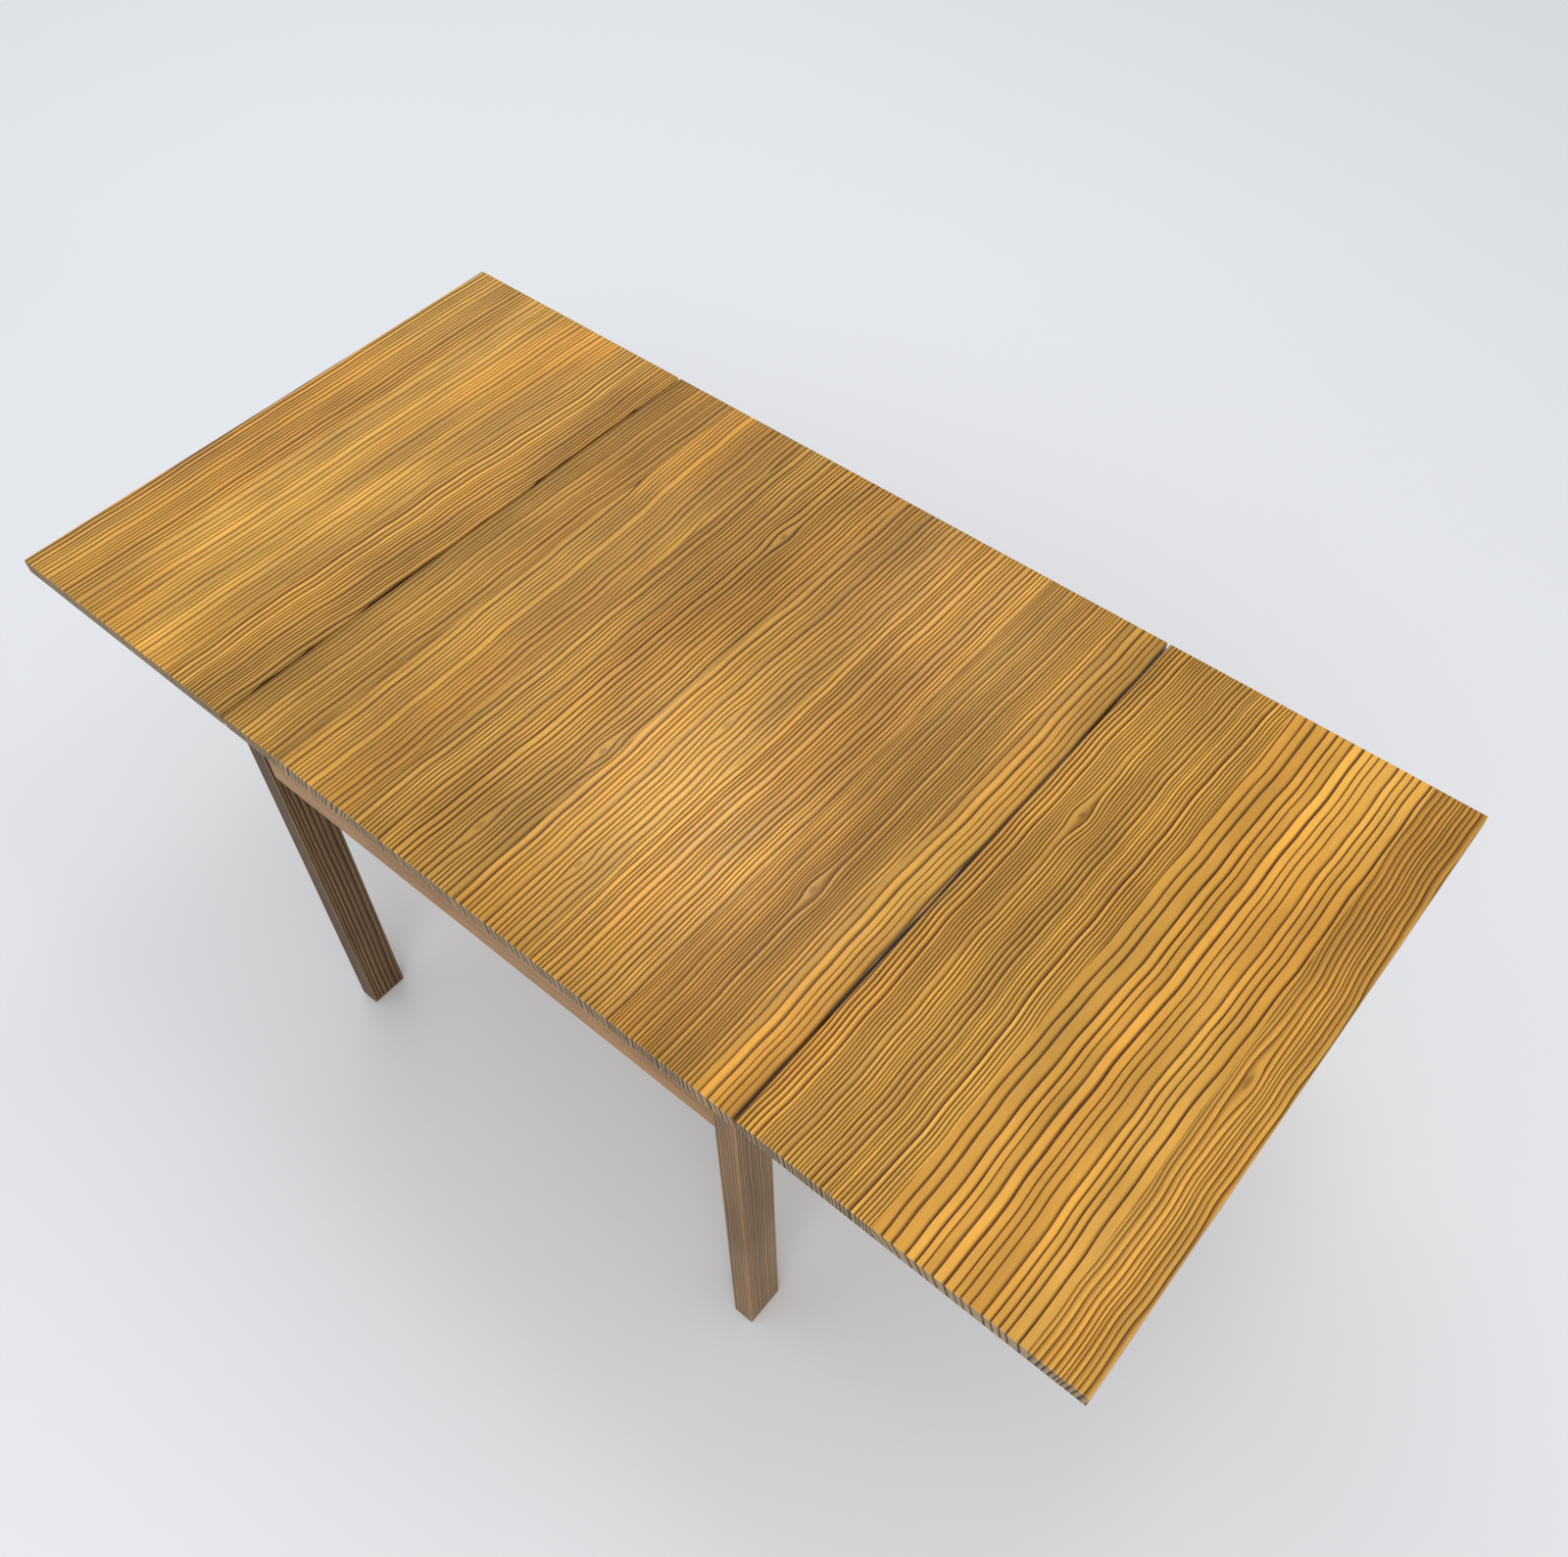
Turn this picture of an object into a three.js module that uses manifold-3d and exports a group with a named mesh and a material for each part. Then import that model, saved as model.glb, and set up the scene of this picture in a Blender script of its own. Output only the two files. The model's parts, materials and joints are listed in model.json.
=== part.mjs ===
// Gateleg table with two drop leaves, in solid softwood.
// Millimetres, +Z up, X along the length, Y across. The origin is on the floor under the middle.
import * as THREE from "three";
import { mergeVertices } from "three/addons/utils/BufferGeometryUtils.js";
import Module from "manifold-3d";

const wasm = await Module();
wasm.setup();

// Top
const TABLE_HEIGHT = 514;
const TABLE_WIDTH = 623;
const CENTRE_LENGTH = 619;
const LEAF_LENGTH = 314;
const SEAM_GAP = 2.8;
const TOP_THICKNESS = 16;
const TOP_EDGE_RADIUS = 1.2;

// Fixed frame
const LEG_X = 23;
const LEG_Y = 43;
const LEG_INSET_X = 7;
const LEG_INSET_Y = 8;
const LEG_EDGE_RADIUS = 1.5;
const APRON_HEIGHT = 62;
const APRON_THICKNESS = 18;
const APRON_RECESS = 2;
const APRON_EDGE_RADIUS = 2.5;
const BLOCK_SIDE = 46;
const BLOCK_HEIGHT = 48;

// Gates: a stile hung on the back leg, two rails and a leg
const GATE_THICKNESS = 20;
const GATE_LENGTH = 250;
const GATE_SETBACK = 1.5;
const GATE_RAIL_CLEARANCE = 1;
const GATE_OPEN_ANGLE = 60;
const STILE_WIDTH = 30;
const STILE_BOTTOM = 62;
const STILE_TOP_DROP = 18;
const GATE_LEG_WIDTH = 36;
const GATE_RAIL_HEIGHT = 34;
const LOWER_RAIL_BOTTOM = 84;
const UPPER_RAIL_DROP = 26;
const GATE_EDGE_RADIUS = 1.5;

// Gate stop and turn button under each leaf
const STOP_LENGTH = 60;
const STOP_WIDTH = 18;
const STOP_HEIGHT = 10;
const BUTTON_LENGTH = 50;
const BUTTON_WIDTH = 16;
const BUTTON_HEIGHT = 9;
const BUTTON_SIDE_GAP = 4;
const BUTTON_FACE_GAP = 2;
const BUTTON_SCREW_RADIUS = 2;
const BUTTON_SCREW_HEAD_RADIUS = 3.6;
const BUTTON_SCREW_HEAD_HEIGHT = 1.6;

// Leaf hinges, screwed under the top
const LEAF_HINGE = { length: 44, width: 24, thickness: 2, barrel: 3, pin: 1.5, screw: 2 };
const LEAF_HINGE_INSET_Y = 100;

// Gate hinges, between the back leg and the stile
const GATE_HINGE = { length: 50, width: 17, thickness: 1.2, barrel: 2.5, pin: 1.2, screw: 1.7 };
const GATE_HINGE_INSET_Z = 55;
const GATE_HINGE_LEAF_GAP = 0.6;

// Clearances
const GLUE_LINE = 0.2;
const SLIDING_GAP = 0.3;
const PIN_CLEARANCE = 0.08;
const KNUCKLE_GAP = 0.4;
const KNUCKLES = 3;
const GATE_LEG_HEAD_GAP = 0.7;
const GATE_LEG_FOOT_GAP = 0.5;

// The two ends along X and the two rows along Y
const ENDS = [["left", -1], ["right", 1]];
const ROWS = [["front", -1], ["back", 1]];

// Values that follow from the sizes above
const UNDERSIDE = TABLE_HEIGHT - TOP_THICKNESS;
const HALF_WIDTH = TABLE_WIDTH / 2;
const CENTRE_END = CENTRE_LENGTH / 2;
const SEAM_X = CENTRE_END + SEAM_GAP / 2;
const LEAF_START = CENTRE_END + SEAM_GAP;
const LEG_OUTER_X = CENTRE_END - LEG_INSET_X;
const LEG_INNER_X = LEG_OUTER_X - LEG_X;
const LEG_OUTER_Y = HALF_WIDTH - LEG_INSET_Y;
const LEG_INNER_Y = LEG_OUTER_Y - LEG_Y;
const APRON_OUTER_Y = LEG_OUTER_Y - APRON_RECESS;
const APRON_INNER_Y = APRON_OUTER_Y - APRON_THICKNESS;
const END_RAIL_OUTER_X = LEG_INNER_X - GLUE_LINE;
const END_RAIL_INNER_X = END_RAIL_OUTER_X - APRON_THICKNESS;
const FRAME_TOP = UNDERSIDE - GLUE_LINE;
const APRON_BOTTOM = FRAME_TOP - APRON_HEIGHT;

const GATE_OUTER_X = LEG_OUTER_X - GATE_SETBACK;
const GATE_INNER_X = GATE_OUTER_X - GATE_THICKNESS;
const GATE_HINGE_GAP = 2 * (GATE_HINGE.thickness + GLUE_LINE) + GATE_HINGE_LEAF_GAP;
const GATE_PIVOT_X = LEG_OUTER_X + GATE_HINGE.barrel;
const GATE_PIVOT_Y = LEG_INNER_Y - GATE_HINGE_GAP / 2;
const STILE_FACE_Y = LEG_INNER_Y - GATE_HINGE_GAP;
const STILE_TOP = UNDERSIDE - STILE_TOP_DROP;
const GATE_LEG_OUTER_Y = STILE_FACE_Y - GATE_LENGTH;
const GATE_LEG_Y = GATE_LEG_OUTER_Y + GATE_LEG_WIDTH / 2;
const GATE_RELIEF_X = GATE_INNER_X - GATE_RAIL_CLEARANCE;

const WOOD_TOP = new THREE.MeshStandardMaterial({ color: 0xb07a36, roughness: 0.5, metalness: 0 });
const WOOD_FRAME = new THREE.MeshStandardMaterial({ color: 0x9a7348, roughness: 0.55, metalness: 0 });
const STEEL = new THREE.MeshStandardMaterial({ color: 0x8d8a84, roughness: 0.4, metalness: 1 });

// A closed mesh as a manifold solid, and back again.
function toSolid(geometry) {
  const plain = geometry.clone();
  plain.deleteAttribute("normal");
  plain.deleteAttribute("uv");
  const merged = mergeVertices(plain, 1e-4);
  return new wasm.Manifold(new wasm.Mesh({
    numProp: 3,
    vertProperties: new Float32Array(merged.attributes.position.array),
    triVerts: new Uint32Array(merged.index.array),
  }));
}

function toGeometry(solid) {
  const mesh = solid.getMesh();
  const geometry = new THREE.BufferGeometry();
  geometry.setAttribute("position", new THREE.BufferAttribute(mesh.vertProperties, 3));
  geometry.setIndex(new THREE.BufferAttribute(mesh.triVerts, 1));
  geometry.computeVertexNormals();
  return geometry;
}

// The mirror image in the plane x = 0, with its faces turned back to point out.
function mirrored(geometry) {
  const copy = geometry.index ? geometry.toNonIndexed() : geometry.clone();
  copy.scale(-1, 1, 1);
  const position = copy.attributes.position;
  for (let i = 0; i < position.count; i += 3) {
    const a = new THREE.Vector3().fromBufferAttribute(position, i + 1);
    const b = new THREE.Vector3().fromBufferAttribute(position, i + 2);
    position.setXYZ(i + 1, b.x, b.y, b.z);
    position.setXYZ(i + 2, a.x, a.y, a.z);
  }
  copy.computeVertexNormals();
  return copy;
}

// A board with eased edges, centred on the origin.
function boardGeometry(sizeX, sizeY, sizeZ, radius) {
  const x = sizeX / 2 - radius;
  const y = sizeY / 2 - radius;
  const outline = new THREE.Shape([
    new THREE.Vector2(-x, -y),
    new THREE.Vector2(x, -y),
    new THREE.Vector2(x, y),
    new THREE.Vector2(-x, y),
  ]);
  const geometry = new THREE.ExtrudeGeometry(outline, {
    depth: sizeZ - 2 * radius,
    bevelThickness: radius,
    bevelSize: radius,
    bevelSegments: 3,
  });
  geometry.translate(0, 0, radius - sizeZ / 2);
  return geometry;
}

// A board between two corners, in the right half of the table when side is 1.
function board(name, low, high, radius, material) {
  const size = high.map((value, axis) => value - low[axis]);
  const mesh = new THREE.Mesh(boardGeometry(...size, radius), material);
  mesh.name = name;
  mesh.position.set(...high.map((value, axis) => (value + low[axis]) / 2));
  return mesh;
}

// The same for a piece that has a twin on the other side of the plane x = 0.
function sidedBoard(name, side, low, high, radius, material) {
  const x = [side * low[0], side * high[0]].sort((a, b) => a - b);
  return board(name, [x[0], low[1], low[2]], [x[1], high[1], high[2]], radius, material);
}

function placed(name, geometry, side, material) {
  const mesh = new THREE.Mesh(side > 0 ? geometry : mirrored(geometry), material);
  mesh.name = name;
  return mesh;
}

// A cylinder along Y around the origin.
function rod(radius, length, segments) {
  return new THREE.CylinderGeometry(radius, radius, length, segments);
}

// A box between two corners.
function block(low, high) {
  const size = high.map((value, axis) => value - low[axis]);
  const geometry = new THREE.BoxGeometry(...size);
  geometry.translate(...high.map((value, axis) => (value + low[axis]) / 2));
  return geometry;
}

// A countersunk screw hole down through a plate whose open face is at -thickness.
function screwHole(hinge) {
  const deep = hinge.thickness + 1;
  const radius = hinge.screw;
  const profile = [
    new THREE.Vector2(0, -deep),
    new THREE.Vector2(radius + deep - 0.3, -deep),
    new THREE.Vector2(radius, -0.3),
    new THREE.Vector2(radius, 1),
    new THREE.Vector2(0, 1),
  ];
  const geometry = new THREE.LatheGeometry(profile, 12);
  geometry.rotateX(Math.PI / 2);
  return geometry;
}

// One leaf of a butt hinge. The pin runs along Y through the origin, the plate lies at +X with its
// back at z = barrel, and the knuckles with this parity belong to it.
function hingeLeaf(hinge, parity) {
  const { length, width, thickness, barrel, pin, screw } = hinge;
  const pitch = length / KNUCKLES;
  const clear = barrel + KNUCKLE_GAP;
  let solid = toSolid(block([clear, -length / 2, barrel - thickness], [barrel + width, length / 2, barrel]));
  for (let i = parity; i < KNUCKLES; i += 2) {
    const middle = (i + 0.5) * pitch - length / 2;
    const span = pitch - (i > 0 ? KNUCKLE_GAP / 2 : 0) - (i < KNUCKLES - 1 ? KNUCKLE_GAP / 2 : 0);
    const shift = ((i > 0 ? 1 : 0) - (i < KNUCKLES - 1 ? 1 : 0)) * KNUCKLE_GAP / 4;
    const knuckle = rod(barrel, span, 16);
    knuckle.translate(0, middle + shift, 0);
    const low = middle + shift - span / 2;
    const web = block([0, low, barrel - thickness], [clear + 1, low + span, barrel]);
    solid = solid.add(toSolid(knuckle)).add(toSolid(web));
  }
  solid = solid.subtract(toSolid(rod(pin + PIN_CLEARANCE, length + 2, 16)));
  for (const end of [-1, 1]) {
    const hole = screwHole(hinge);
    hole.translate(barrel + width / 2 + screw / 2, end * length / 4, barrel);
    solid = solid.subtract(toSolid(hole));
  }
  return toGeometry(solid);
}

function hingePin(hinge) {
  return rod(hinge.pin, hinge.length, 16);
}

// Top: a centre panel and two leaves, their grain across the table.
function makeTop() {
  const panels = new THREE.Group();
  panels.add(board("centre_panel", [-CENTRE_END, -HALF_WIDTH, UNDERSIDE],
    [CENTRE_END, HALF_WIDTH, TABLE_HEIGHT], TOP_EDGE_RADIUS, WOOD_TOP));
  for (const [end, side] of ENDS) {
    panels.add(sidedBoard(`${end}_leaf`, side, [LEAF_START, -HALF_WIDTH, UNDERSIDE],
      [LEAF_START + LEAF_LENGTH, HALF_WIDTH, TABLE_HEIGHT], TOP_EDGE_RADIUS, WOOD_TOP));
  }
  return panels;
}

// Fixed frame: four legs, two aprons, two end rails and four corner blocks.
function makeFrame() {
  const frame = new THREE.Group();
  for (const [end, side] of ENDS) {
    for (const [row, back] of ROWS) {
      const y = [back * LEG_INNER_Y, back * LEG_OUTER_Y].sort((a, b) => a - b);
      frame.add(sidedBoard(`${row}_${end}_leg`, side, [LEG_INNER_X, y[0], 0],
        [LEG_OUTER_X, y[1], FRAME_TOP], LEG_EDGE_RADIUS, WOOD_FRAME));
      frame.add(cornerBlock(`${row}_${end}_corner_block`, side, back));
    }
    frame.add(endRail(`${end}_end_rail`, side));
  }
  for (const [row, back] of ROWS) {
    const y = [back * APRON_INNER_Y, back * APRON_OUTER_Y].sort((a, b) => a - b);
    const reach = LEG_INNER_X - GLUE_LINE;
    frame.add(board(`${row}_apron`, [-reach, y[0], APRON_BOTTOM], [reach, y[1], FRAME_TOP],
      APRON_EDGE_RADIUS, WOOD_FRAME));
  }
  return frame;
}

// An end rail is glued to the inner faces of its legs. Between them its face is cut back as far as a
// folded gate needs, which is nothing where the legs are thick enough for the gate.
function endRail(name, side) {
  const rail = sidedBoard(name, side, [END_RAIL_INNER_X, GLUE_LINE - APRON_INNER_Y, APRON_BOTTOM],
    [END_RAIL_OUTER_X, APRON_INNER_Y - GLUE_LINE, FRAME_TOP], APRON_EDGE_RADIUS, WOOD_FRAME);
  if (GATE_RELIEF_X < END_RAIL_OUTER_X) {
    const x = [side * GATE_RELIEF_X, side * LEG_OUTER_X].sort((a, b) => a - b);
    const relief = block([x[0], -LEG_INNER_Y, 0], [x[1], LEG_INNER_Y, TABLE_HEIGHT]);
    relief.translate(-rail.position.x, -rail.position.y, -rail.position.z);
    rail.geometry = toGeometry(toSolid(rail.geometry).subtract(toSolid(relief)));
  }
  return rail;
}

// A three-cornered glue block in the angle between an apron and an end rail.
function cornerBlock(name, side, back) {
  const x = side * (END_RAIL_INNER_X - GLUE_LINE);
  const y = back * (APRON_INNER_Y - GLUE_LINE);
  const corner = new THREE.Vector2(x, y);
  const along = new THREE.Vector2(x - side * BLOCK_SIDE, y);
  const across = new THREE.Vector2(x, y - back * BLOCK_SIDE);
  const outline = new THREE.Shape([corner, along, across]);
  const geometry = new THREE.ExtrudeGeometry(outline, { depth: BLOCK_HEIGHT, bevelEnabled: false });
  const mesh = new THREE.Mesh(geometry, WOOD_FRAME);
  mesh.name = name;
  mesh.position.z = FRAME_TOP - BLOCK_HEIGHT;
  return mesh;
}

// Two hinges under each seam.
function makeLeafHinges() {
  const hinges = new THREE.Group();
  const axisZ = FRAME_TOP - LEAF_HINGE.barrel;
  for (const [end, side] of ENDS) {
    for (const [row, back] of ROWS) {
      const hinge = new THREE.Group();
      hinge.position.set(side * SEAM_X, back * (HALF_WIDTH - LEAF_HINGE_INSET_Y), axisZ);
      hinge.add(placed(`${row}_${end}_hinge_leaf_plate`, hingeLeaf(LEAF_HINGE, 1), side, STEEL));
      hinge.add(placed(`${row}_${end}_hinge_frame_plate`, hingeLeaf(LEAF_HINGE, 0), -side, STEEL));
      hinge.add(placed(`${row}_${end}_hinge_pin`, hingePin(LEAF_HINGE), side, STEEL));
      hinges.add(hinge);
    }
  }
  return hinges;
}

// A gate at each end, folded between the legs.
function makeGates() {
  const gates = new THREE.Group();
  const x = [GATE_INNER_X, GATE_OUTER_X];
  const railY = [GATE_LEG_OUTER_Y + GATE_LEG_WIDTH + GLUE_LINE, STILE_FACE_Y - STILE_WIDTH - GLUE_LINE];
  const railX = [x[0] + GATE_EDGE_RADIUS, x[1] - GATE_EDGE_RADIUS];
  const rails = {
    lower: LOWER_RAIL_BOTTOM,
    upper: UNDERSIDE - UPPER_RAIL_DROP - GATE_RAIL_HEIGHT,
  };
  for (const [end, side] of ENDS) {
    gates.add(sidedBoard(`${end}_gate_stile`, side, [x[0], STILE_FACE_Y - STILE_WIDTH, STILE_BOTTOM],
      [x[1], STILE_FACE_Y, STILE_TOP], GATE_EDGE_RADIUS, WOOD_FRAME));
    gates.add(sidedBoard(`${end}_gate_leg`, side, [x[0], GATE_LEG_OUTER_Y, GATE_LEG_FOOT_GAP],
      [x[1], GATE_LEG_OUTER_Y + GATE_LEG_WIDTH, UNDERSIDE - GATE_LEG_HEAD_GAP],
      GATE_EDGE_RADIUS, WOOD_FRAME));
    for (const [level, bottom] of Object.entries(rails)) {
      gates.add(sidedBoard(`${end}_gate_${level}_rail`, side, [railX[0], railY[0], bottom],
        [railX[1], railY[1], bottom + GATE_RAIL_HEIGHT], GATE_EDGE_RADIUS, WOOD_FRAME));
    }
  }
  return gates;
}

// Two butt hinges between each gate's stile and the back leg.
function makeGateHinges() {
  const hinges = new THREE.Group();
  const levels = { lower: STILE_BOTTOM + GATE_HINGE_INSET_Z, upper: STILE_TOP - GATE_HINGE_INSET_Z };
  for (const [end, side] of ENDS) {
    for (const [level, z] of Object.entries(levels)) {
      const name = `${end}_gate_${level}_hinge`;
      const hinge = new THREE.Group();
      hinge.position.set(side * GATE_PIVOT_X, GATE_PIVOT_Y, z);
      hinge.add(placed(`${name}_leg_plate`, gateHingeLeaf(0, 1), side, STEEL));
      hinge.add(placed(`${name}_gate_plate`, gateHingeLeaf(1, -1), side, STEEL));
      const pin = hingePin(GATE_HINGE);
      pin.rotateX(Math.PI / 2);
      hinge.add(placed(`${name}_pin`, pin, side, STEEL));
      hinges.add(hinge);
    }
  }
  return hinges;
}

// A gate hinge's leaf stands upright in the gap, with its back to the leg (1) or to the stile (-1).
function gateHingeLeaf(parity, back) {
  const { length, width, thickness, barrel, pin } = GATE_HINGE;
  const pitch = length / KNUCKLES;
  const near = GATE_HINGE_LEAF_GAP / 2;
  const y = [back * near, back * (near + thickness)].sort((a, b) => a - b);
  const clear = barrel + KNUCKLE_GAP;
  let solid = toSolid(block([-barrel - width, y[0], -length / 2], [-clear, y[1], length / 2]));
  for (let i = parity; i < KNUCKLES; i += 2) {
    const low = i * pitch - length / 2 + (i > 0 ? KNUCKLE_GAP / 2 : 0);
    const high = (i + 1) * pitch - length / 2 - (i < KNUCKLES - 1 ? KNUCKLE_GAP / 2 : 0);
    const knuckle = rod(barrel, high - low, 16);
    knuckle.rotateX(Math.PI / 2);
    knuckle.translate(0, 0, (low + high) / 2);
    const web = block([-clear - 1, y[0], low], [0, y[1], high]);
    solid = solid.add(toSolid(knuckle)).add(toSolid(web));
  }
  const bore = rod(pin + PIN_CLEARANCE, length + 2, 16);
  bore.rotateX(Math.PI / 2);
  solid = solid.subtract(toSolid(bore));
  for (const end of [-1, 1]) {
    const hole = screwHole(GATE_HINGE);
    hole.rotateX(back * Math.PI / -2);
    hole.translate(-barrel - width / 2, y[back > 0 ? 1 : 0], end * length / 4);
    solid = solid.subtract(toSolid(hole));
  }
  return toGeometry(solid);
}

// The stop that an open gate's leg meets, and the turn button that keeps it there, under each leaf.
function makeGateLocks() {
  const locks = new THREE.Group();
  const turn = THREE.MathUtils.degToRad(GATE_OPEN_ANGLE);
  const legAt = GATE_PIVOT_Y - GATE_LEG_Y;
  const face = UNDERSIDE - SLIDING_GAP;
  for (const [end, side] of ENDS) {
    const open = new THREE.Group();
    open.position.set(side * GATE_PIVOT_X, GATE_PIVOT_Y, face);
    open.rotation.z = side * turn;
    const stopX = GATE_OUTER_X - GATE_PIVOT_X + SLIDING_GAP + STOP_WIDTH / 2;
    const stop = new THREE.Mesh(boardGeometry(STOP_WIDTH, STOP_LENGTH, STOP_HEIGHT, 1), WOOD_FRAME);
    stop.name = `${end}_gate_stop`;
    stop.position.set(side * stopX, -legAt, -STOP_HEIGHT / 2);
    open.add(stop);

    const buttonX = GATE_INNER_X - GATE_PIVOT_X - BUTTON_FACE_GAP - BUTTON_WIDTH / 2;
    const buttonY = -legAt - GATE_LEG_WIDTH / 2 - BUTTON_SIDE_GAP - BUTTON_WIDTH / 2;
    const bore = rod(BUTTON_SCREW_RADIUS + PIN_CLEARANCE, BUTTON_HEIGHT + 2, 16);
    bore.rotateX(Math.PI / 2);
    const body = toSolid(boardGeometry(BUTTON_LENGTH, BUTTON_WIDTH, BUTTON_HEIGHT, 1.5));
    const button = new THREE.Mesh(toGeometry(body.subtract(toSolid(bore))), WOOD_FRAME);
    button.name = `${end}_turn_button`;
    button.position.set(side * buttonX, buttonY, -BUTTON_HEIGHT / 2);
    open.add(button);

    const screw = new THREE.Mesh(buttonScrew(), STEEL);
    screw.name = `${end}_turn_button_screw`;
    screw.position.set(side * buttonX, buttonY, 0);
    open.add(screw);
    locks.add(open);
  }
  return locks;
}

// A round-head screw that hangs down from the origin through the button.
function buttonScrew() {
  const headTop = -BUTTON_HEIGHT - SLIDING_GAP;
  const headEnd = headTop - BUTTON_SCREW_HEAD_HEIGHT;
  const profile = [
    new THREE.Vector2(0, headEnd),
    new THREE.Vector2(BUTTON_SCREW_HEAD_RADIUS * 0.7, headEnd),
    new THREE.Vector2(BUTTON_SCREW_HEAD_RADIUS, headTop),
    new THREE.Vector2(BUTTON_SCREW_RADIUS, headTop),
    new THREE.Vector2(BUTTON_SCREW_RADIUS, 0),
    new THREE.Vector2(0, 0),
  ];
  const geometry = new THREE.LatheGeometry(profile, 16);
  geometry.rotateX(Math.PI / 2);
  return geometry;
}

const table = new THREE.Group();
table.add(makeTop(), makeFrame(), makeLeafHinges(), makeGates(), makeGateHinges(), makeGateLocks());

export default table;
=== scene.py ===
import json
import math
from dataclasses import dataclass, field

import bmesh
import bpy
import numpy as np
from bpy.props import FloatProperty, FloatVectorProperty, PointerProperty
from mathutils import Matrix, Vector

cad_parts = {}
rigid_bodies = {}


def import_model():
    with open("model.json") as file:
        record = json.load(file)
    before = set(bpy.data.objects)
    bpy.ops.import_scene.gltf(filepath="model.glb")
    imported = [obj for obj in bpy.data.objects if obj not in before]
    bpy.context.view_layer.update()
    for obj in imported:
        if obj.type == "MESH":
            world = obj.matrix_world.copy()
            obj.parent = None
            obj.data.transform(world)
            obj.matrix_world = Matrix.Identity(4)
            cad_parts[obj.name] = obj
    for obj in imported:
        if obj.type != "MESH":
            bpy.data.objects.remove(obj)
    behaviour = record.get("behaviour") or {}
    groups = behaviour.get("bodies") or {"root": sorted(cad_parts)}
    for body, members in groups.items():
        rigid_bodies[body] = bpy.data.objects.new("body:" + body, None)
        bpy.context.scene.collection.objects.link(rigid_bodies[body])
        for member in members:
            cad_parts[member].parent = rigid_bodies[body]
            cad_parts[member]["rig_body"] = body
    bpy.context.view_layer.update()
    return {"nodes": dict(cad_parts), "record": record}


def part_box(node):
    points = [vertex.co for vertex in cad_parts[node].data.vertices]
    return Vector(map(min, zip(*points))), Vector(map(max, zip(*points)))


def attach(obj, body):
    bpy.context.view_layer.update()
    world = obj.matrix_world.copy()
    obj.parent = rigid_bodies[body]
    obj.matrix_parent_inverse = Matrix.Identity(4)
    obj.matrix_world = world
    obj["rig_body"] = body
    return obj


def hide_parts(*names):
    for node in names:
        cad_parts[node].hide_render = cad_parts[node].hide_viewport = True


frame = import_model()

bl_info = {
    "name": "Gateleg Table",
    "version": (1, 0, 0),
    "blender": (4, 5, 0),
    "location": "3D View > Sidebar > Gateleg",
    "description": "A brushed softwood gateleg table with two drop leaves, around its packed frame",
    "category": "Add Mesh",
}

MM = 0.001
ENDS = ("left", "right")
ROWS = ("front", "back")
SIDE = {"left": -1, "right": 1, "front": -1, "back": 1}
LEVELS = ("lower", "upper")
TOP_PANELS = {"left_leaf": "left_leaf_body", "centre_panel": "table_frame", "right_leaf": "right_leaf_body"}
JOINTS = frame["record"]["behaviour"]["joints"]
GATE_OPEN = max(abs(joint["range_deg"][0]) for joint in JOINTS if "gate" in joint["name"])

# The wood. Lengths are in millimetres, noise scales are per metre across, along and through the grain.
LATE_WIDTH = 2.9                    # of the dark wood of one year
LATE_MOST = 0.8                     # of a year that can be dark wood
CROWN = 0.38                        # the part of a year where the brushed face stands highest
FIRST_RING = 400                    # added to every ring number, so that none is below 0
RINGS_APART = 57                    # between the ring numbers of neighbouring staves
TREES_APART = 0.37                  # metres between the noise of two trees
STAVES_APART = 0.211                # metres between the noise of two staves
END_GRAIN_NORMAL = 0.72             # a face turned this far along the grain shows end grain
UNDERSIDE_ROWS = 8                  # rows of the top side to one row of the underside
UNDERSIDE_BRUSHING = 0.15           # of the ridge depth of the top side
END_BRUSHING = 0.3                  # of the ridge depth of the faces
FIBRE_SCALE = (1500, 38, 1500)
STREAK_SCALE = (260, 7, 260)
CLOUD_SCALE = (16, 5, 16)
WARMTH_SCALE = (9, 2.5, 9)
RAGGED = 0.22                       # of a year that streaks move the grain lines
WARMER = (0.98, 0.88, 0.72)
KNOT_COLOUR = (0.13, 0.052, 0.015)
KNOT_DEPTH = 40                     # half the height of a knot's dark core
END_EARLY = (0.29, 0.22, 0.135)
END_LATE = (0.026, 0.017, 0.010)
RUBBED = (0.62, 0.45, 0.24)         # fibres on the eased edges


# Sizes and colours.

class GatelegTopSettings(bpy.types.PropertyGroup):
    ridge: FloatProperty(
        name="Ridge depth", description="How deep the brushed grooves are", default=0.26 * MM,
        min=0, unit="LENGTH")
    column: FloatProperty(
        name="Column step", description="Mesh step across the grain", default=0.65 * MM,
        min=0.3 * MM, unit="LENGTH")
    row: FloatProperty(
        name="Row step", description="Mesh step along the grain", default=10 * MM,
        min=2 * MM, unit="LENGTH")
    arris: FloatProperty(
        name="Arris", description="Radius of the eased edges", default=0.8 * MM, min=0, unit="LENGTH")
    early: FloatVectorProperty(
        name="Early wood", description="Colour of the wide golden strips", subtype="COLOR",
        default=(0.57, 0.305, 0.052))
    late: FloatVectorProperty(
        name="Late wood", description="Colour that each strip darkens to", subtype="COLOR",
        default=(0.095, 0.032, 0.0032))
    # The ring edge is partly the year's own dark line and partly painted shadow in the bottom of each
    # brushed groove.
    edge: FloatVectorProperty(
        name="Ring edge", description="Colour of the thin line where a year ends", subtype="COLOR",
        default=(0.045, 0.014, 0.0014))
    roughness: FloatProperty(
        name="Roughness", description="Of the oiled face", default=0.38, min=0, max=1, subtype="FACTOR")


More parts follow.
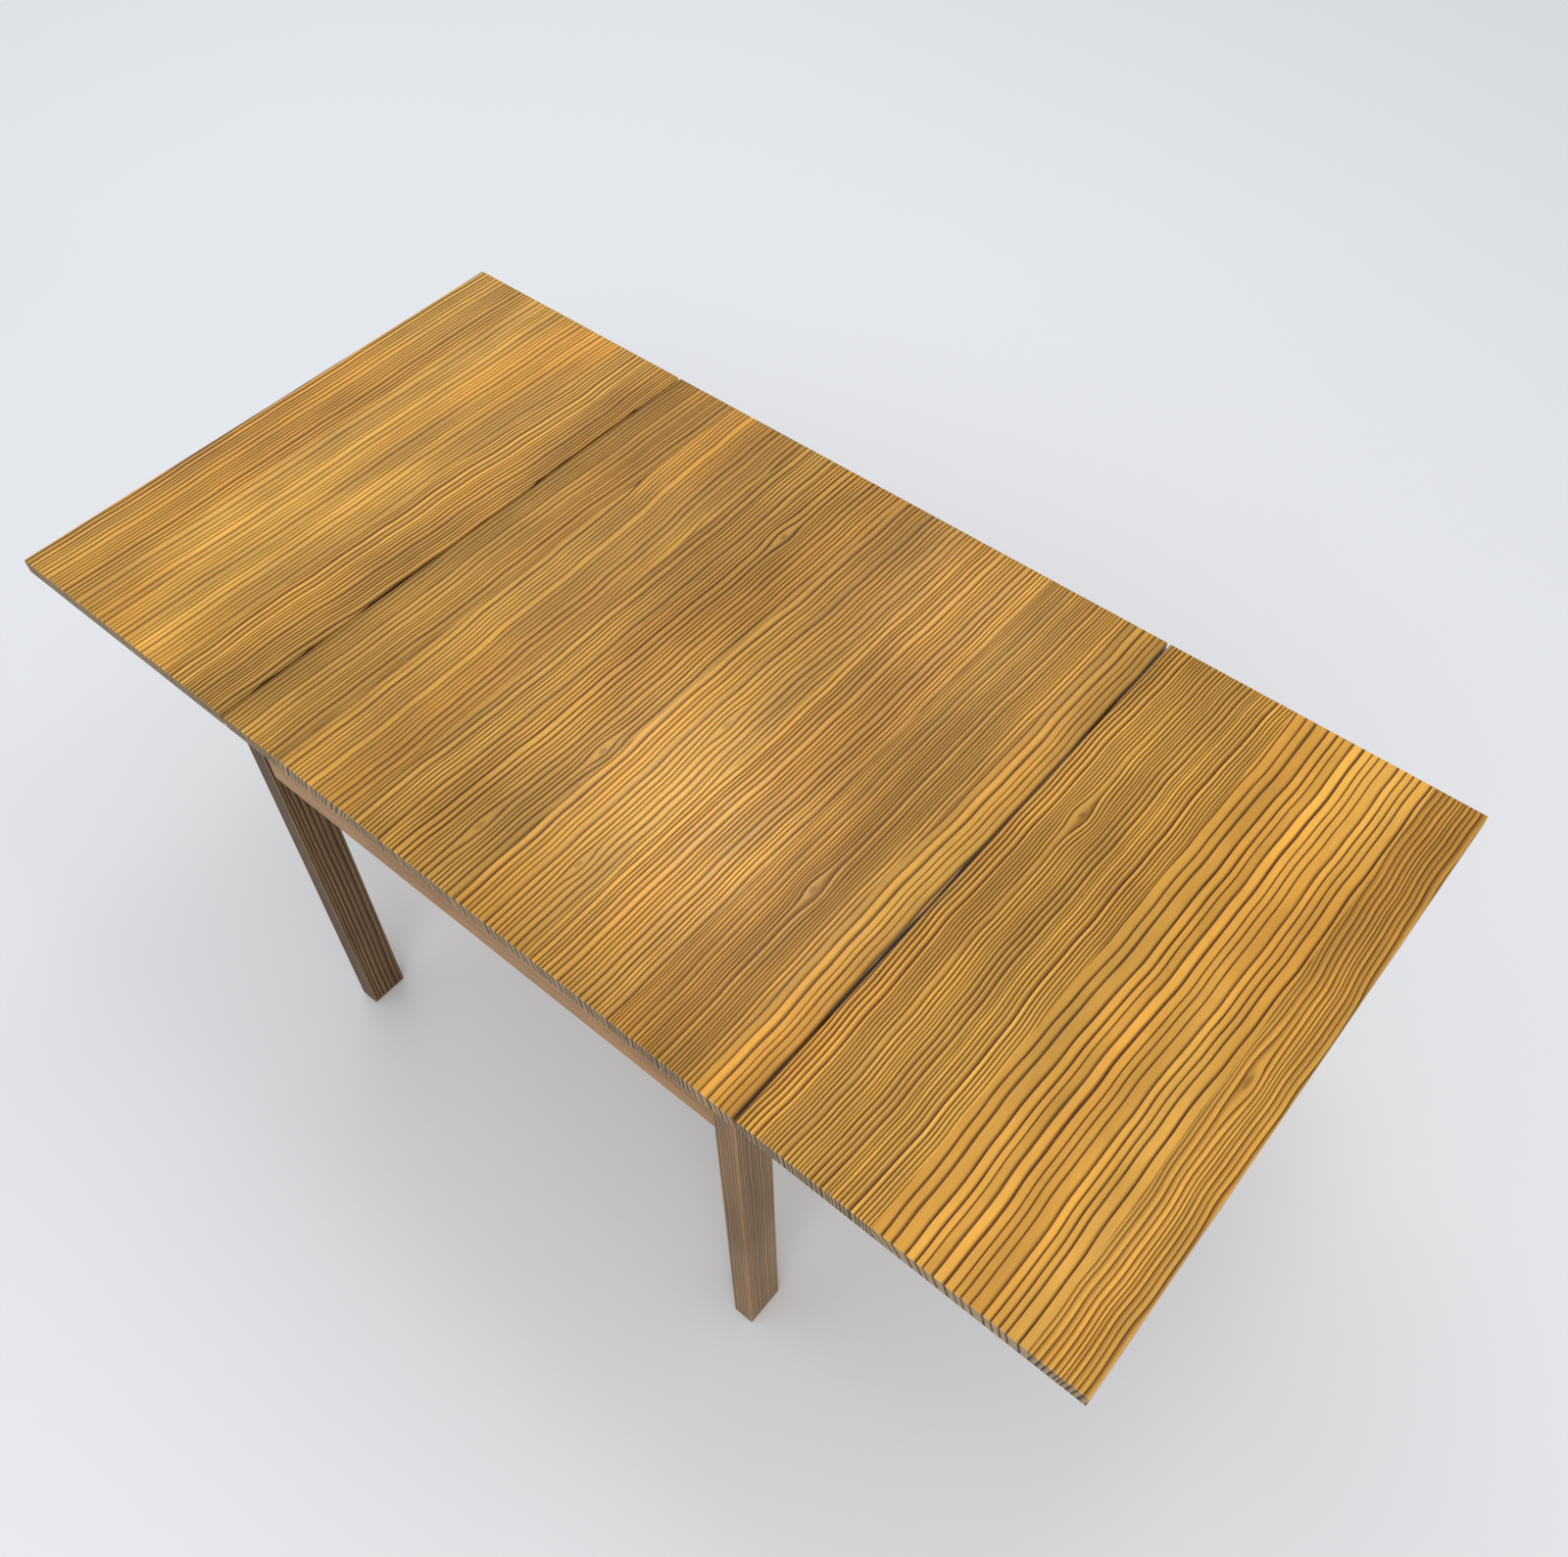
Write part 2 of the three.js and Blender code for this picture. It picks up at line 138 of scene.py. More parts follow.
class GatelegFrameSettings(bpy.types.PropertyGroup):
    ridge: FloatProperty(
        name="Ridge depth", description="How deep the grain is brushed", default=0.16 * MM,
        min=0, unit="LENGTH")
    column: FloatProperty(
        name="Column step", description="Mesh step across the grain", default=1.3 * MM,
        min=0.3 * MM, unit="LENGTH")
    row: FloatProperty(
        name="Row step", description="Mesh step along the grain", default=16 * MM,
        min=2 * MM, unit="LENGTH")
    early: FloatVectorProperty(
        name="Early wood", description="Colour between the grain lines", subtype="COLOR",
        default=(0.27, 0.165, 0.082))
    late: FloatVectorProperty(
        name="Late wood", description="Colour of the grain lines", subtype="COLOR",
        default=(0.055, 0.028, 0.014))
    # The ring edge is partly the year's own dark line and partly painted shadow in the bottom of each
    # brushed groove.
    edge: FloatVectorProperty(
        name="Ring edge", description="Colour of the thin line where a year ends", subtype="COLOR",
        default=(0.05, 0.025, 0.012))
    roughness: FloatProperty(
        name="Roughness", description="Of the oiled frame", default=0.5, min=0, max=1, subtype="FACTOR")


class GatelegSteelSettings(bpy.types.PropertyGroup):
    colour: FloatVectorProperty(
        name="Zinc", description="Colour of the zinc plate", subtype="COLOR", default=(0.56, 0.55, 0.52))
    tarnish: FloatVectorProperty(
        name="Tarnish", description="Colour where the plate is dull", subtype="COLOR",
        default=(0.24, 0.215, 0.18))
    roughness: FloatProperty(
        name="Roughness", description="Of the clean plate", default=0.32, min=0, max=1, subtype="FACTOR")


class GatelegStageSettings(bpy.types.PropertyGroup):
    eye: FloatVectorProperty(
        name="Eye", description="Where the camera stands", subtype="TRANSLATION", unit="LENGTH",
        default=(0.661, -0.652, 1.576))
    heading: FloatProperty(
        name="Heading", description="Turn of the view from the table's depth towards its left end",
        subtype="ANGLE", default=math.radians(40.79))
    dip: FloatProperty(
        name="Dip", description="How far the view looks down", subtype="ANGLE",
        default=math.radians(52.75))
    roll: FloatProperty(
        name="Roll", description="Lean of the camera", subtype="ANGLE", default=math.radians(-1.1))
    lens: FloatProperty(
        name="Lens", description="Focal length in millimetres on a 36 mm wide sensor", default=34.85)
    floor: FloatVectorProperty(
        name="Floor", description="Colour of the plain floor", subtype="COLOR", default=(0.74, 0.755, 0.78))
    ambient: FloatProperty(
        name="Ambient", description="Strength of the light from all round", default=0.84, min=0)


SETTINGS = {
    "gateleg_top": GatelegTopSettings,
    "gateleg_frame": GatelegFrameSettings,
    "gateleg_steel": GatelegSteelSettings,
    "gateleg_stage": GatelegStageSettings,
}


# Shader maths.

class Wire:
    """One socket of a node tree, which Python expressions can use as a number, a colour or a vector."""

    def __init__(self, tree, socket):
        self.tree = tree
        self.socket = socket

    def math(self, operation, *others):
        sockets = dict(enumerate((self, *others)))
        return self.tree.add("ShaderNodeMath", {"operation": operation}, sockets)

    def __add__(self, other):
        return self.math("ADD", other)

    __radd__ = __add__

    def __sub__(self, other):
        return self.math("SUBTRACT", other)

    def __rsub__(self, other):
        return self.tree.add("ShaderNodeMath", {"operation": "SUBTRACT"}, {0: other, 1: self})

    def __mul__(self, other):
        return self.math("MULTIPLY", other)

    __rmul__ = __mul__

    def floor(self):
        return self.math("FLOOR")

    def fraction(self):
        return self.math("FRACT")

    def ramp(self, low, high):
        """0 below low and 1 above high, with a smooth rise between them."""
        return self.tree.add(
            "ShaderNodeMapRange", {"interpolation_type": "SMOOTHSTEP"},
            {"Value": self, "From Min": low, "From Max": high})

    def stretched(self, scale):
        """This vector times another, component by component."""
        return self.tree.add("ShaderNodeVectorMath", {"operation": "MULTIPLY"}, {0: self, 1: scale})

    def away_from(self, place):
        """This place less a fixed one."""
        return self.tree.add("ShaderNodeVectorMath", {"operation": "SUBTRACT"}, {0: self, 1: place})

    def scaled(self, amount):
        """This colour or vector times a number."""
        return self.tree.add("ShaderNodeVectorMath", {"operation": "SCALE"}, {0: self, "Scale": amount})


class Finish:
    """A material and its node tree."""

    def __init__(self, name):
        self.material = bpy.data.materials.new(name)
        self.material.use_nodes = True
        self.nodes = self.material.node_tree.nodes
        self.links = self.material.node_tree.links
        self.nodes.clear()

    def add(self, kind, settings=None, sockets=None, out=0):
        """A node of this kind, with its settings made first and then its sockets given values or links."""
        node = self.nodes.new(kind)
        for key, value in (settings or {}).items():
            setattr(node, key, value)
        for key, value in (sockets or {}).items():
            if isinstance(value, Wire):
                self.links.new(value.socket, node.inputs[key])
            else:
                node.inputs[key].default_value = value
        return Wire(self, node.outputs[out])

    def attribute(self, name, out="Fac"):
        return self.add("ShaderNodeAttribute", {"attribute_name": name}, out=out)

    def mix(self, factor, a, b):
        """From colour a to colour b."""
        def colour(value):
            return value if isinstance(value, Wire) else (*value, 1)
        return self.add(
            "ShaderNodeMix", {"data_type": "RGBA"}, {0: factor, 6: colour(a), 7: colour(b)}, out=2)

    def noise(self, vector, scale=1.0, detail=2.0, roughness=0.5):
        return self.add(
            "ShaderNodeTexNoise", None,
            {"Vector": vector, "Scale": scale, "Detail": detail, "Roughness": roughness})

    def drawn(self, number):
        """A number from 0 to 1 that looks drawn by lot, the same each time for the same number."""
        return self.add("ShaderNodeTexWhiteNoise", {"noise_dimensions": "1D"}, {"W": number})

    def close(self, colour, roughness, normal, metallic=0.0, specular=0.5):
        """Puts the surface together and gives back the material."""
        shader = self.add(
            "ShaderNodeBsdfPrincipled", None,
            {"Base Color": colour, "Roughness": roughness, "Metallic": metallic, "Normal": normal,
             "Specular IOR Level": specular})
        output = self.nodes.new("ShaderNodeOutputMaterial")
        self.links.new(shader.socket, output.inputs["Surface"])
        return self.material


def wood(name, settings, knots=()):
    """Oiled softwood. The mesh says where the rings, the end grain and the eased edges are."""
    finish = Finish(name)
    grain = finish.attribute("grain", "Vector")
    tone = finish.attribute("tone")
    contrast = finish.attribute("contrast")
    end = finish.attribute("end")
    rim = finish.attribute("rim")
    fibre = finish.noise(grain.stretched(FIBRE_SCALE), detail=3)
    streak = finish.noise(grain.stretched(STREAK_SCALE), detail=4, roughness=0.6)
    cloud = finish.noise(grain.stretched(CLOUD_SCALE), detail=3)
    warmth = finish.noise(grain.stretched(WARMTH_SCALE), detail=2)

    ring = finish.attribute("ring") + (streak - 0.5) * RAGGED
    year = ring.floor()
    part = ring.fraction()
    lot = finish.drawn(year)
    shade = finish.drawn(year + 0.37)
    begin = 1 - finish.attribute("share") * (0.85 + 0.5 * lot)
    late = part.ramp(begin, 0.9) * (1 - part.ramp(0.94, 1.0))
    depth = late * contrast * (0.7 + 0.3 * shade)
    # edge: a thin dark band at the end of each year, where the brushed groove is deepest. It is partly the
    # year's own dark line and partly painted shadow of the groove.
    edge = part.ramp(0.72, 0.90) * (1 - part.ramp(0.95, 1.0)) * contrast * (0.45 + 0.5 * lot)

    colour = finish.mix(depth, settings.early, settings.late)
    colour = finish.mix(edge, colour, settings.edge)
    colour = finish.mix(warmth.ramp(0.35, 0.7), colour, colour.stretched(WARMER))
    mottle = (0.80 + 0.40 * fibre) * (0.82 + 0.40 * cloud.ramp(0.3, 0.7))
    colour = colour.scaled(tone * mottle * (0.84 + 0.32 * shade))
    for centre, size in knots:
        reach = tuple(1 / s for s in size)
        offset = grain.away_from(centre)
        distance = finish.add(
            "ShaderNodeVectorMath", {"operation": "LENGTH"}, {0: offset.stretched(reach)}, out="Value")
        core = 1 - distance.ramp(0.45, 1.0)
        colour = finish.mix(core * 0.5, colour, KNOT_COLOUR)
    cut = finish.mix(late, END_EARLY, END_LATE)
    colour = finish.mix(end * 0.9, colour, cut.scaled(0.7 + 0.6 * fibre))
    colour = finish.mix(rim * fibre * 0.35, colour, RUBBED)

    roughness = settings.roughness + 0.16 * (fibre - 0.5) + 0.2 * end
    roughness = roughness + 0.08 * (1 - depth) * (cloud - 0.5)
    height = 0.14 * fibre + 0.1 * streak - late * contrast
    bump = finish.add("ShaderNodeBump", None, {"Strength": 0.8, "Distance": 0.4 * MM, "Height": height})
    return finish.close(colour, roughness, bump, specular=0.16)


def zinc(settings):
    """Zinc-plated steel, dulled in clouds and finely scratched."""
    finish = Finish("zinc_steel")
    place = finish.add("ShaderNodeTexCoord", out="Object")
    dull = finish.noise(place, scale=260, detail=5, roughness=0.65)
    grit = finish.noise(place, scale=2600, detail=2)
    drag = finish.noise(place.stretched((3400, 160, 900)), detail=3)
    worn = dull.ramp(0.42, 0.66)
    colour = finish.mix(worn, settings.colour, settings.tarnish)
    roughness = settings.roughness + 0.3 * worn + 0.12 * (grit - 0.5)
    bump = finish.add(
        "ShaderNodeBump", None,
        {"Strength": 0.3, "Distance": 0.08 * MM, "Height": drag * 0.6 + grit * 0.4})
    return finish.close(colour, roughness, bump, metallic=1.0)


# Boards with raised grain.

@dataclass
class Stave:
    """One glued strip of a board and the tree it came from, in millimetres."""
    width: float
    pitch: float                      # between two rings
    pith: tuple = (-180, 60)          # across from the strip's first edge, and below its face
    lean: float = 0.0                 # that the rings drift across, per metre of length
    sway: float = 1.5                 # of slow wander
    tone: float = 1.0
    contrast: float = 1.0
    seed: int = 0


@dataclass
class Knot:
    """A small knot: its place across and along the board and its half sizes, in millimetres."""
    across: float
    along: float
    half: tuple = (3.2, 6.5)


@dataclass
class Plan:
    """How a piece's boards are cut: which way the grain runs, its strips and its knots."""
    along: int
    across: int
    staves: list
    knots: list = field(default_factory=list)


WAVES = ((640, 1.0), (270, 0.55), (120, 0.28), (60, 0.16), (38, 0.05))      # length, share of the sway
SPACINGS = ((31, 0.28), (13, 0.2))          # millimetres between wide years, share of their width


def wander(along, across, size, seed):
    """How far the grain lines wave sideways, in millimetres."""
    rng = np.random.default_rng(seed)
    total = 0
    for length, share in WAVES:
        turn, slip = rng.uniform(0, math.tau), rng.uniform(-0.6, 0.6)
        total = total + share * np.sin(math.tau * (along / length + slip * across / 160) + turn)
    return size * total


def ring_count(across, along, depth, stave, knots):
    """How many rings lie between the pith and a point. All in millimetres from the stave's corner."""
    for knot in knots:
        dx, dy = across - knot.across, along - knot.along
        near = np.exp(-(dx / (3.4 * knot.half[0])) ** 2 - (dy / (3.2 * knot.half[1])) ** 2)
        across = across - 0.8 * dx * near
    shift = stave.lean * along / 1000 + wander(along, across, stave.sway, stave.seed)
    radius = np.hypot(across - stave.pith[0] - shift, depth - stave.pith[1])
    years = radius / stave.pitch
    for length, share in SPACINGS:
        swing = share * length / (math.tau * stave.pitch)
        years = years + swing * np.sin(math.tau * radius / length + stave.seed)
    return years + FIRST_RING


def groove(rings, share):
    """0 on the crown of a year's strip and 1 in its dark line, which is narrow where its share is small."""
    wave = 0.5 - 0.5 * np.cos(math.tau * (rings % 1 - CROWN))
    return wave ** (1.2 / share)


def steps(low, high, step, radius):
    """Lattice lines from low to high, with extra ones where the edge is eased."""
    inner = np.linspace(low + radius, high - radius, max(2, round((high - low - 2 * radius) / step) + 1))
    ease = radius * np.array([0.0, 0.22, 0.6])
    return np.concatenate([low + ease, inner, high - ease[::-1]])


class Lattice:
    """The closed surface of a box as welded quads, whose underside can be coarser along its length."""

    def __init__(self, lines, coarse=None):
        self.lines = lines
        shape = tuple(len(line) for line in lines)
        i, j, k = np.indices(shape)
        skin = (i % (shape[0] - 1) == 0) | (j % (shape[1] - 1) == 0) | (k % (shape[2] - 1) == 0)
        if coarse:
            under = (k == 0) & (i > 0) & (i < shape[0] - 1) & (j > 0) & (j < shape[1] - 1)
            skin &= ~under | (j % coarse == 0)
        self.index = np.full(shape, -1)
        self.index[skin] = np.arange(skin.sum())
        self.points = np.stack([line[n[skin]] for line, n in zip(lines, (i, j, k))], axis=1)
        self.faces = []
        self.long_faces = []
        for axis in range(3):
            for last in (False, True):
                self.side(axis, last, coarse)

    def side(self, axis, last, coarse):
        sheet = np.take(self.index, -1 if last else 0, axis=axis)
        if axis == 1:
            sheet = sheet.T
        if coarse and axis == 2 and not last:
            self.underside(sheet, coarse)
            return
        quads = np.stack([sheet[:-1, :-1], sheet[1:, :-1], sheet[1:, 1:], sheet[:-1, 1:]], axis=-1)
        quads = quads.reshape(-1, 4)
        self.faces.append(quads if last else quads[:, ::-1])

    def underside(self, sheet, coarse):
        """Every column, but few rows. The two outer columns keep all their edge points."""
        rows = [j for j in range(sheet.shape[1]) if j % coarse == 0 and j < sheet.shape[1] - 1]
        rows.append(sheet.shape[1] - 1)
        inner = sheet[1:-1][:, rows]
        quads = np.stack([inner[:-1, :-1], inner[1:, :-1], inner[1:, 1:], inner[:-1, 1:]], axis=-1)
        self.faces.append(quads.reshape(-1, 4)[:, ::-1])
        for a, b in zip(rows[:-1], rows[1:]):
            first = [*sheet[0, a:b + 1], sheet[1, b], sheet[1, a]]
            final = [*sheet[-1, a:b + 1][::-1], sheet[-2, a], sheet[-2, b]]
            self.long_faces += [first, final]


def eased(points, low, high, radius):
    """Points on a box moved onto its eased edges, with their outward normals."""
    inner = np.clip(points, low + radius, high - radius)
    away = points - inner
    length = np.linalg.norm(away, axis=1, keepdims=True)
    normal = away / np.maximum(length, 1e-12)
    return inner + radius * normal, normal


def wood_board(name, low, high, radius, plan, settings, smooth_under=False):
    """A board between two corners in metres, its faces brushed along the rings that the plan grows."""
    low, high = np.array(low, float), np.array(high, float)
    along, across = plan.along, plan.across
    through = 3 - along - across
    pace = [settings.column] * 3
    pace[along] = settings.row
    lines = [steps(low[a], high[a], pace[a], radius) for a in range(3)]
    lattice = Lattice(lines, coarse=UNDERSIDE_ROWS if smooth_under else None)
    points, normal = eased(lattice.points, low, high, radius)

    quads = np.concatenate(lattice.faces)
    corners = np.concatenate([quads.ravel(), *[np.array(face) for face in lattice.long_faces]])
    sizes = np.concatenate([np.full(len(quads), 4), [len(face) for face in lattice.long_faces]]).astype(int)
    face_of = np.repeat(np.arange(len(sizes)), sizes)
    place = (points[corners] - low) / MM
    middle = np.bincount(face_of, place[:, across]) / sizes

    edges = np.cumsum([0, *[s.width for s in plan.staves]])
    which = np.clip(np.searchsorted(edges, middle[face_of], side="right") - 1, 0, len(plan.staves) - 1)
    rings, tone, contrast, share = (np.zeros(len(corners)) for _ in range(4))
    depth = (high[through] - low[through]) / MM - place[:, through]
    for n, stave in enumerate(plan.staves):
        own = which == n
        knots = [Knot(k.across - edges[n], k.along, k.half) for k in plan.knots]
        count = ring_count(place[own, across] - edges[n], place[own, along], depth[own], stave, knots)
        rings[own] = count + RINGS_APART * n
        tone[own], contrast[own] = stave.tone, stave.contrast
        share[own] = min(LATE_MOST, LATE_WIDTH / stave.pitch)

    side = normal[corners]
    end = np.abs(side[:, along]) > END_GRAIN_NORMAL
    cut = groove(rings, share) * settings.ridge * contrast
    cut = np.where(end, END_BRUSHING * cut, cut)
    if smooth_under:
        cut = np.where(side[:, through] < -0.5, UNDERSIDE_BRUSHING * cut, cut)
    uses = np.bincount(corners, minlength=len(points))
    sunk = np.bincount(corners, cut, minlength=len(points)) / uses
    points = points - normal * sunk[:, None]

    mesh = bpy.data.meshes.new(name)
    mesh.from_pydata(points.tolist(), [], [])
    mesh.loops.add(len(corners))
    mesh.polygons.add(len(sizes))
    mesh.loops.foreach_set("vertex_index", corners.astype(np.int32))
    mesh.polygons.foreach_set("loop_start", (np.cumsum(sizes) - sizes).astype(np.int32))
    mesh.polygons.foreach_set("use_smooth", np.ones(len(sizes), bool))
    mesh.update(calc_edges=True)
    rim = (np.abs(side).max(axis=1) < 0.95).astype(float)
    grain = np.stack([place[:, across], place[:, along], place[:, through]], axis=1) * MM
    grain += plan.staves[0].seed * TREES_APART
    grain[:, 0] += which * STAVES_APART
    store(mesh, grain, {"ring": rings, "tone": tone, "contrast": contrast, "share": share,
                        "end": end.astype(float), "rim": rim})
    return mesh


def store(mesh, grain, values):
    """Keeps on each corner what the wood's shader asks for."""
    for key, value in values.items():
        attribute = mesh.attributes.new(key, "FLOAT", "CORNER")
        attribute.data.foreach_set("value", value.astype(np.float32))
    vector = mesh.attributes.new("grain", "FLOAT_VECTOR", "CORNER")
    vector.data.foreach_set("vector", grain.astype(np.float32).ravel())


def show(mesh, material, body, nodes=()):
    """Puts a finished mesh in the scene, riding on its body and standing for its CAD nodes."""
    mesh.validate()
    mesh.materials.append(material)
    piece = bpy.data.objects.new(mesh.name, mesh)
    bpy.context.scene.collection.objects.link(piece)
    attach(piece, body)
    if nodes:
        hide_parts(*nodes)


def body_of(node):
    return frame["nodes"][node]["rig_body"]


# The top.

TOP_STAVES = {
    "left_leaf": [
        Stave(84, 5.2, (-170, 70), lean=-5, sway=1.2, tone=1.0, contrast=1.0, seed=3),
        Stave(146, 5.6, (-140, 95), lean=4, sway=1.2, tone=1.06, contrast=0.75, seed=5),
        Stave(83, 4.6, (-75, 45), lean=20, sway=2.2, tone=0.93, contrast=1.05, seed=8),
    ],
    # The low tones of the centre panel's staves are partly the boards' own colour and partly painted shade
    # that keeps the centre darker than the leaves.
    "centre_panel": [
        Stave(80, 4.7, (-100, 60), lean=4, sway=1.6, tone=0.77, contrast=0.8, seed=11),
        Stave(95, 5.2, (170, 48), lean=-34, sway=2.0, tone=0.88, contrast=0.85, seed=14),
        Stave(45, 5.0, (-130, 50), lean=-4, sway=1.4, tone=0.80, contrast=1.0, seed=17),
        Stave(90, 5.3, (-220, 70), lean=3, sway=1.3, tone=0.77, contrast=1.05, seed=21),
        Stave(90, 5.6, (-160, 60), lean=-3, sway=1.7, tone=0.80, contrast=0.95, seed=24),
        Stave(90, 5.0, (-250, 60), lean=2, sway=1.3, tone=0.77, contrast=1.0, seed=27),
        Stave(85, 3.9, (-310, 40), lean=2, sway=1.1, tone=0.78, contrast=0.95, seed=30),
        Stave(44, 6.6, (-170, 60), lean=-2, sway=1.6, tone=0.88, contrast=0.85, seed=33),
    ],
    "right_leaf": [
        Stave(130, 3.9, (-220, 60), lean=3, sway=1.8, tone=1.0, contrast=1.05, seed=36),
        Stave(135, 7.6, (-34, 42), lean=6, sway=1.5, tone=1.1, contrast=1.0, seed=39),
        Stave(48, 4.2, (160, 30), lean=-5, sway=2.2, tone=1.0, contrast=0.9, seed=42),
    ],
}
TOP_KNOTS = {
    "left_leaf": [],
    "centre_panel": [
        Knot(248, 504), Knot(298, 192), Knot(364, 285, (2.4, 9)), Knot(273, 66, (2.2, 8)),
        Knot(536, 197), Knot(367, 91, (2.4, 6)),
    ],
    "right_leaf": [Knot(45, 403, (3.4, 6)), Knot(280, 273, (2.6, 12))],
}


class GATELEG_OT_top(bpy.types.Operator):
    """Build the centre panel and the two drop leaves"""
    bl_idname = "object.gateleg_top"
    bl_label = "Top Panels"

    def execute(self, context):
        settings = context.scene.gateleg_top
        for panel, body in TOP_PANELS.items():
            low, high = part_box(panel)
            plan = Plan(along=1, across=0, staves=TOP_STAVES[panel], knots=TOP_KNOTS[panel])
            mesh = wood_board(f"{panel}_boards", low, high, settings.arris, plan, settings, True)
            material = wood(f"oiled_{panel}", settings, knot_places(plan, high.z - low.z))
            show(mesh, material, body, [panel])
        return {"FINISHED"}


def knot_places(plan, thickness):
    """Where the shader darkens the knots: centre and half sizes in the grain's own frame."""
    edges = np.cumsum([0, *[s.width for s in plan.staves]])
    first = plan.staves[0].seed * TREES_APART
    found = []
    for knot in plan.knots:
        stave = int(np.searchsorted(edges, knot.across, side="right")) - 1
        x = knot.across * MM + first + stave * STAVES_APART
        centre = (x, knot.along * MM + first, thickness + first)
        found.append((centre, (knot.half[0] * MM, knot.half[1] * MM, KNOT_DEPTH * MM)))
    return found


# The frame and the gates.

LEG_ARRIS = 1.5 * MM
RAIL_ARRIS = 2.5 * MM
GATE_ARRIS = 1.5 * MM
LOCK_ARRIS = {"gate_stop": 1.5 * MM, "turn_button": 2.5 * MM}
GATE_PIECES = ("stile", "leg", "lower_rail", "upper_rail")
LEG_PITH = (-100, 115)
# The coarse leg's low tone is partly its own darker wood and partly painted shade of a leg face turned away
# from the light.
COARSE_SHADED_LEG = {"pitch": 3.9, "tone": 0.66, "contrast": 1.3}
FINE_LEG = {"pitch": 2.5, "tone": 1.05, "contrast": 0.8}
RAIL_WOOD = {"pitch": 2.6, "tone": 1.5, "contrast": 0.62, "lean": 2}
LOCK_PITCH = 2.4
LEG_TREES, RAIL_TREES, GATE_TREES, LOCK_TREES = 50, 60, 70, 80      # the first tree of each group


def plain_plan(low, high, seed, **chosen):
    """One board with its grain along its longest side, its wood drawn by lot unless it is chosen."""
    size = [h - l for l, h in zip(low, high)]
    order = sorted(range(3), key=lambda axis: size[axis])
    rng = np.random.default_rng(seed)
    drawn = {
        "pitch": rng.uniform(2.8, 4.2),
        "pith": (rng.uniform(-150, -60), rng.uniform(20, 80)),
        "lean": rng.uniform(-5, 5),
        "sway": rng.uniform(0.5, 1.0),
        "tone": rng.uniform(0.92, 1.08),
        "contrast": rng.uniform(0.7, 0.95),
    }
    stave = Stave(width=size[order[1]] / MM, seed=seed, **{**drawn, **chosen})
    return Plan(along=order[2], across=order[1], staves=[stave])


def frame_board(context, node, radius, seed, **chosen):
    """A board of the frame or of a gate in place of its CAD node."""
    low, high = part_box(node)
    plan = plain_plan(low, high, seed, **chosen)
    mesh = wood_board(f"{node}_board", low, high, radius, plan, context.scene.gateleg_frame)
    show(mesh, frame_wood(context), body_of(node), [node])


def frame_wood(context):
    material = bpy.data.materials.get("oiled_frame")
    return material or wood("oiled_frame", context.scene.gateleg_frame)


class GATELEG_OT_legs(bpy.types.Operator):
    """Build the four fixed legs"""
    bl_idname = "object.gateleg_legs"
    bl_label = "Legs"

    def execute(self, context):
        for n, row in enumerate(ROWS):
            for m, end in enumerate(ENDS):
                # Every other leg, the front left among them, gets the coarse wood with its painted shade.
                grown = COARSE_SHADED_LEG if (n + m) % 2 == 0 else FINE_LEG
                frame_board(context, f"{row}_{end}_leg", LEG_ARRIS, LEG_TREES + 2 * n + m,
                            pith=LEG_PITH, lean=1.5, **grown)
        return {"FINISHED"}


class GATELEG_OT_rails(bpy.types.Operator):
    """Build the two aprons and the two end rails"""
    bl_idname = "object.gateleg_rails"
    bl_label = "Aprons and End Rails"

    def execute(self, context):
        names = [f"{row}_apron" for row in ROWS] + [f"{end}_end_rail" for end in ENDS]
        for n, name in enumerate(names):
            frame_board(context, name, RAIL_ARRIS, RAIL_TREES + n, **RAIL_WOOD)
        return {"FINISHED"}


class GATELEG_OT_gates(bpy.types.Operator):
    """Build the stile, the leg and the two rails of each gate"""
    bl_idname = "object.gateleg_gates"
    bl_label = "Gates"

    def execute(self, context):
        for m, end in enumerate(ENDS):
            for n, piece in enumerate(GATE_PIECES):
                tree = GATE_TREES + len(GATE_PIECES) * m + n
                frame_board(context, f"{end}_gate_{piece}", GATE_ARRIS, tree)
        return {"FINISHED"}


class GATELEG_OT_locks(bpy.types.Operator):
    """Build the gate stops and the turn buttons under the leaves"""
    bl_idname = "object.gateleg_locks"
    bl_label = "Gate Stops and Turn Buttons"

    def execute(self, context):
        for m, end in enumerate(ENDS):
            turn = Matrix.Rotation(SIDE[end] * math.radians(GATE_OPEN), 4, "Z")
            for n, (piece, radius) in enumerate(LOCK_ARRIS.items()):
                node = f"{end}_{piece}"
                low, high = turned_box(node, turn)
                plan = plain_plan(low, high, LOCK_TREES + 2 * m + n, pitch=LOCK_PITCH)
                mesh = wood_board(
                    f"{node}_block", low, high, radius, plan, context.scene.gateleg_frame)
                mesh.transform(turn)
                show(mesh, frame_wood(context), body_of(node), [node])
        return {"FINISHED"}


def turned_box(node, turn):
    """The lowest and highest corners of a node in a frame turned about the vertical."""
    back = turn.inverted()
    points = np.array([back @ v.co for v in frame["nodes"][node].data.vertices])
    return points.min(axis=0), points.max(axis=0)


class GATELEG_OT_blocks(bpy.types.Operator):
    """Build the three-cornered glue blocks in the corners of the frame"""
    bl_idname = "object.gateleg_blocks"
    bl_label = "Corner Blocks"

    def execute(self, context):
        for row in ROWS:
            for end in ENDS:
                node = f"{row}_{end}_corner_block"
                mesh = corner_block(f"{node}_wood", *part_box(node), SIDE[end], SIDE[row])
                show(mesh, frame_wood(context), body_of(node), [node])
        return {"FINISHED"}


BLOCK_ARRIS = 1.2 * MM
BLOCK_STEP = 4 * MM
BLOCK_TREE = Stave(46, 2.8, (-220, 90), sway=0.4)
BLOCK_END_NORMAL = 0.8


